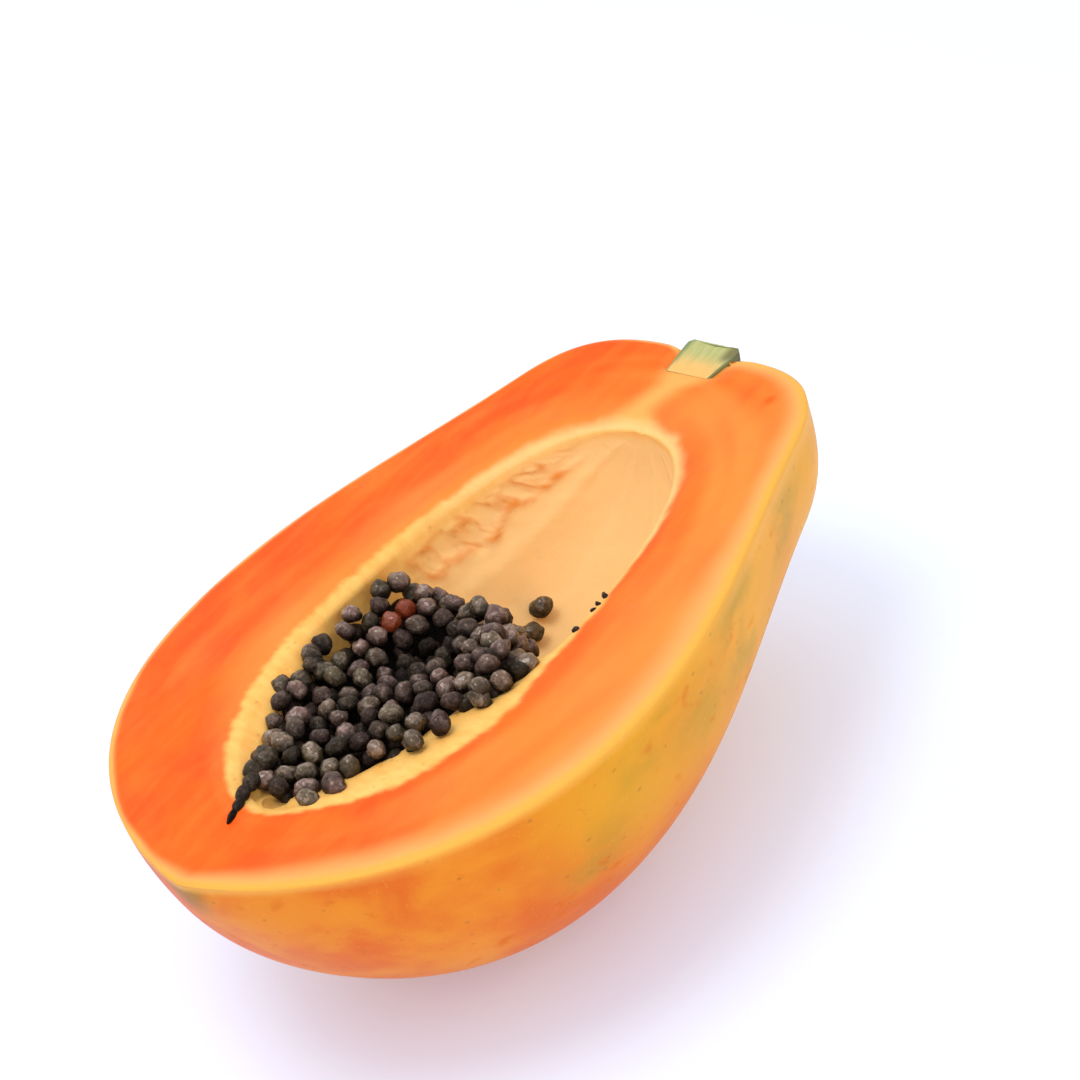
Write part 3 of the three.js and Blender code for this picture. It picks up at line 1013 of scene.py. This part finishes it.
# %% String of seeds, and hand-over of the heap
TAIL_FROM, TAIL_TO, TAIL_BEADS = Vector((37, 9, 0)), Vector((20.5, 3, 0)), 6
aim = TAIL_TO - TAIL_FROM
lengthwise = (0, 0, math.atan2(aim.y, aim.x) - math.pi / 2)
for i in range(TAIL_BEADS):
    share = i / (TAIL_BEADS - 1)
    aside = Vector((-aim.y, aim.x, 0)).normalized() * (0.7 * (-1) ** i * (1 - share))
    add_seed(bm, TAIL_FROM.lerp(TAIL_TO, share) + aside, lengthwise,
             between(6.4, 5.0, share), between(6.2, 1.8, share ** 0.7), 0.3 * (1 - share))
smooth_all(bm)
finish_piece(bm, "seed_heap", ["seeds"], [SEED_COAT])

# %% [markdown]
# ## A black sheet under the seeds: painted shade
# Between the seeds one would look onto the pale wall. A black sheet stands in for the shade deep
# in the heap: a grid laid under the heap, cut to the room in the cavity and thickened by
# extruding it downwards, closes that view with few faces. Its map is left at 0, so it stays black
# and without gloss.

# %% Black sheet of painted shade
SHADE_SHEET_HALF_LONG, SHADE_SHEET_HALF_WIDE, SHADE_SHEET_Y = 41, 30, -1
SHADE_SHEET_BELOW, SHADE_SHEET_THICK, SHADE_SHEET_KEEPS_BACK = 5.0, 2.5, 5

bm = seed_mesh()
reach = (Matrix.Translation(((HEAP_START + HEAP_FOOT) / 2, SHADE_SHEET_Y, 0))
         @ Matrix.Diagonal((SHADE_SHEET_HALF_LONG, SHADE_SHEET_HALF_WIDE, 1, 1)))
bmesh.ops.create_grid(bm, x_segments=54, y_segments=40, size=1, matrix=reach)
outside = [v for v in bm.verts
           if not seed_fits(v.co.x, v.co.y, heap_top(v.co.x, v.co.y) - SHADE_SHEET_BELOW - 1)
           or v.co.y < near_edge(v.co.x) + SHADE_SHEET_KEEPS_BACK]
bmesh.ops.delete(bm, geom=outside, context="VERTS")
for v in bm.verts:
    v.co.z = heap_top(v.co.x, v.co.y) - SHADE_SHEET_BELOW + 0.8 * ripple(v.co.x, v.co.y, 0, 4)
slab = bmesh.ops.extrude_face_region(bm, geom=list(bm.faces))
for v in (g for g in slab["geom"] if isinstance(g, bmesh.types.BMVert)):
    v.co.z -= SHADE_SHEET_THICK
smooth_all(bm)
bmesh.ops.recalc_face_normals(bm, faces=bm.faces)
finish_piece(bm, "shade_sheet_under_seeds", [], [SEED_COAT])

# %% [markdown]
# ## Crumbs and stray seeds
# A few dry crumbs stick to the near lip where seeds were scraped off, and two loose seeds lie on
# the bare floor of the cavity. They are seeds too, only smaller or alone, so the same function
# makes them. The stray ones rest on the floor, whose depth follows from the cavity's outline.

# %% Dry crumbs on the near lip
CRUMBS = ((96.5, 2.4, 1.9), (103.4, 1.8, 1.3), (105.4, 2.6, 1.2), (108.2, 3.0, 1.6))
CRUMB_Z, CRUMB_PAST_RIM, CRUMB_TONE = -0.9, 0.4, 0.1
bm = seed_mesh()
for x, long, wide in CRUMBS:
    y = middle_line(x) - cavity_half_width(x) * (1 + CAVITY_LOBE) - CRUMB_PAST_RIM
    add_seed(bm, Vector((x, y, CRUMB_Z)), (0, 0, 1.2 + x), long, wide, CRUMB_TONE, fineness=2)
finish_piece(bm, "seed_crumbs", [], [SEED_COAT])

# %% Stray seeds
STRAY_SPOTS, STRAY_LIFT, STRAY_TONE = ((117.0, 6.7), (123.5, 8.2)), 0.7, 0.55
for i, (x, y) in enumerate(STRAY_SPOTS, 1):
    across = (y - middle_line(x)) / cavity_half_width(x)
    floor_z = -cavity_half_width(x) * CAVITY_DEPTH_SHARE * math.sqrt(1 - across ** 2)
    spot = Vector((x, y, floor_z + SEED_WIDE / 2 + STRAY_LIFT))
    bm = seed_mesh()
    add_seed(bm, spot, (0, 0, x), SEED_LONG, SEED_WIDE, STRAY_TONE)
    smooth_all(bm)
    finish_piece(bm, f"loose_seed_{i}", [f"stray_seed_{i}"], [SEED_COAT])

# %% [markdown]
# ## The finish of the stem stub
# The stalk was cut short and then halved with the fruit. Its cut face is pale green and fibrous,
# and its rind is grey-green, browned where it has dried. The fibres are the shared mottling,
# stretched along the stalk.


# %% Stem material
def make_stem_finish():
    material, wires, shader = new_material(
        "papaya_stem", Roughness=0.6, Subsurface_Weight=0.1, Subsurface_Scale=0.002)
    fibre_place = wires.place((0.12, 1.0, 1.0))
    fibre = wires.group(MOTTLE, Place=fibre_place, Scale=900.0, Low=0.35, High=0.65)
    pith = wires.mix(paint(190, 188, 122), paint(174, 178, 104), fibre)
    pith = wires.mix(pith, paint(250, 186, 98), wires.own("root"))
    rind = wires.mix(paint(122, 138, 84), paint(98, 88, 40), wires.own("dry"))
    wires.put(shader.inputs["Base Color"], wires.mix(pith, rind, wires.own("rind")))
    height = wires.group(RELIEF, Place=fibre_place, Scale=900.0, Grain=0.5)
    wires.bumps(shader, height, strength=0.5, distance=0.0003)
    return material


STEM_FINISH = make_stem_finish()
print(STEM_FINISH.name, "has", len(STEM_FINISH.node_tree.nodes), "nodes")

# %% [markdown]
# ## The stem stub
# The stub is a half shell like the fruit, with a slight flare and a dished end. Its open face is
# bridged from side to side like the rungs of a ladder, and not filled with one flat face, since
# the fibres' relief and the rind's colour need points across it.

# %% Shell of the stub
STEM_END, STEM_NECK_RADIUS, STEM_LOBE = 193.0, STEM_RADIUS - 1.4, 0.03
STEM_STEPS, STEM_COUNT = 40, 14

bm = bmesh.new()
rind_layer = bm.verts.layers.float.new("rind")
dry_layer = bm.verts.layers.float.new("dry")
root_layer = bm.verts.layers.float.new("root")
side = ((STEM_START, STEM_NECK_RADIUS), (STEM_START + 5, STEM_RADIUS - 1),
        (STEM_END - 4, STEM_RADIUS), (STEM_END - 1.2, STEM_RADIUS))
dished_end = ((STEM_END, STEM_RADIUS - 1), (STEM_END - 0.5, STEM_RADIUS / 2), (STEM_END - 1, 0))
stub_line = [Vector((STEM_START, 0, 0)), *chain([(side, STEM_COUNT)])]
stub_line += [Vector((*point, 0)) for point in dished_end]
stub = half_shell(bm, stub_line, STEM_STEPS, lambda x: STEM_LOBE, 1.0)
for v in stub:
    v.co.y += STEM_Y - middle_line(v.co.x)
    v[rind_layer] = 1.0
    v[dry_layer] = ease(v.co.x, 187, 192.5) * ease(-v.co.y, -3, 6)
print("stub shell has", len(stub), "points")

# %% Cut face of the stub
STEM_RUNGS = 30
sides = [e for e in rim_of(bm, stub) if all(abs(v.co.y - STEM_Y) > 0.01 for v in e.verts)]
ladder = bmesh.ops.bridge_loops(bm, edges=sides)
bmesh.ops.subdivide_edgering(bm, edges=ladder["edges"], cuts=STEM_RUNGS, interp_mode="LINEAR",
                             smooth=0.0, profile_shape="LINEAR", profile_shape_factor=0.0)
bmesh.ops.holes_fill(bm, edges=[e for e in bm.edges if e.is_boundary], sides=0)
print("stub has", len(bm.faces), "faces; open edges", sum(e.is_boundary for e in bm.edges))

# %% Colour maps of the stub, and hand-over
shell = set(stub)
for v in (v for v in bm.verts if v not in shell):
    x, y = v.co.x, v.co.y
    half_width = between(STEM_NECK_RADIUS, STEM_RADIUS, ease(x, 181, 189))
    edge_gap = half_width - abs(y - STEM_Y) + 0.3 * ripple(x, y, 0, 2)
    thin_rind = 0.9 * (1 - ease(edge_gap, 0.4, 1.5)) * ease(x, 182, 187)
    wide_rind = 0.8 * ease(x, 186, 189) * ease(-y, 4.0, 6.4)
    v[rind_layer] = max(thin_rind, wide_rind)
    v[dry_layer] = ease(x, 186, 190) * ease(-y, 2, 6)
    v[root_layer] = 0.9 * (1 - ease(x + ripple(x, y, 0, 3), 181.5, 190))
    v.co.z += 0.15 * ripple(0.3 * x, y, 0, 1.6) - 0.1
for face in bm.faces:
    face.smooth = abs(face.normal.z) < 0.95
bmesh.ops.recalc_face_normals(bm, faces=bm.faces)
finish_piece(bm, "stem_stub_dressed", ["stem_stub"], [STEM_FINISH])

# %% [markdown]
# ## Floor
# The fruit lies on plain white. One square grid is enough for that. A little emission keeps it
# white in the distance, where the lamps no longer reach.

# %% Floor
FLOOR_HALF_SIZE = 4.0
bm = bmesh.new()
bmesh.ops.create_grid(bm, x_segments=1, y_segments=1, size=FLOOR_HALF_SIZE)
floor_mesh = bpy.data.meshes.new("floor")
bm.to_mesh(floor_mesh)
bm.free()
floor_material, _, floor_shader = new_material("pale_floor", Roughness=0.7, Emission_Strength=0.2)
floor_shader.inputs["Base Color"].default_value = paint(216, 229, 255)
floor_shader.inputs["Emission Color"].default_value = paint(255, 255, 255)
floor_mesh.materials.append(floor_material)
floor = bpy.data.objects.new("floor", floor_mesh)
bpy.context.scene.collection.objects.link(floor)
print("floor is", 2 * FLOOR_HALF_SIZE, "metres wide")

# %% [markdown]
# ## Lights
# Soft light from all round gives the faint shadow of a photographer's table. The world does most
# of it. Three disks add to it: a key light from above that puts the glints on the seeds, and a
# fill and a back light that model the skin.


# %% Lights
def softbox(name, place, size, power, tint):
    lamp = bpy.data.lights.new(name, "AREA")
    lamp.shape, lamp.size, lamp.energy, lamp.color = "DISK", size, power, tint
    box = bpy.data.objects.new(name, lamp)
    box.location = place
    box.rotation_euler = (-Vector(place)).to_track_quat("-Z", "Y").to_euler()
    bpy.context.scene.collection.objects.link(box)


softbox("key_light", (-0.22, 0.08, 1.15), 0.5, 4.0, (1.0, 0.98, 0.95))
softbox("fill_light", (-0.2, -0.8, 0.55), 0.8, 1.5, (1.0, 0.97, 0.93))
softbox("back_light", (0.3, 0.9, 0.8), 0.8, 1.5, (1.0, 1.0, 1.0))
world = bpy.data.worlds.new("studio")
world.use_nodes = True
background = world.node_tree.nodes["Background"]
background.inputs["Color"].default_value = (0.95, 0.96, 1.0, 1.0)
background.inputs["Strength"].default_value = 0.86
bpy.context.scene.world = world
bpy.context.scene.view_settings.view_transform = "Standard"
print("lights:", [lamp.name for lamp in bpy.data.lights])

# %% [markdown]
# ## Camera
# The camera looks down on the cut face from the blossom side, rolled a little so that the fruit
# runs up to the right. A camera could be aimed by hand, but its place and its three axes were
# worked out from the outline of the cut face, in the drawing space.

# %% Camera
CAMERA_PLACE = Vector((-295.6, -482.6, 448.2))
CAMERA_RIGHT = Vector((0.5923, -0.7612, -0.2642))
CAMERA_UP = Vector((0.6032, 0.2015, 0.7717))
CAMERA_BACK = Vector((-0.5342, -0.6165, 0.5784))
LENS_MM, SENSOR_MM = 116.67, 36.0
camera_data = bpy.data.cameras.new("camera")
camera_data.lens, camera_data.sensor_width = LENS_MM, SENSOR_MM
camera_data.clip_start, camera_data.clip_end = 0.05, 20
camera = bpy.data.objects.new("camera", camera_data)
bpy.context.scene.collection.objects.link(camera)
camera_turn = Matrix((CAMERA_RIGHT, CAMERA_UP, CAMERA_BACK)).transposed().to_4x4()
camera.matrix_world = Matrix.Translation(TO_FRAME @ CAMERA_PLACE) @ camera_turn
bpy.context.scene.camera = camera
print("camera stands at", [round(c, 3) for c in camera.matrix_world.translation])
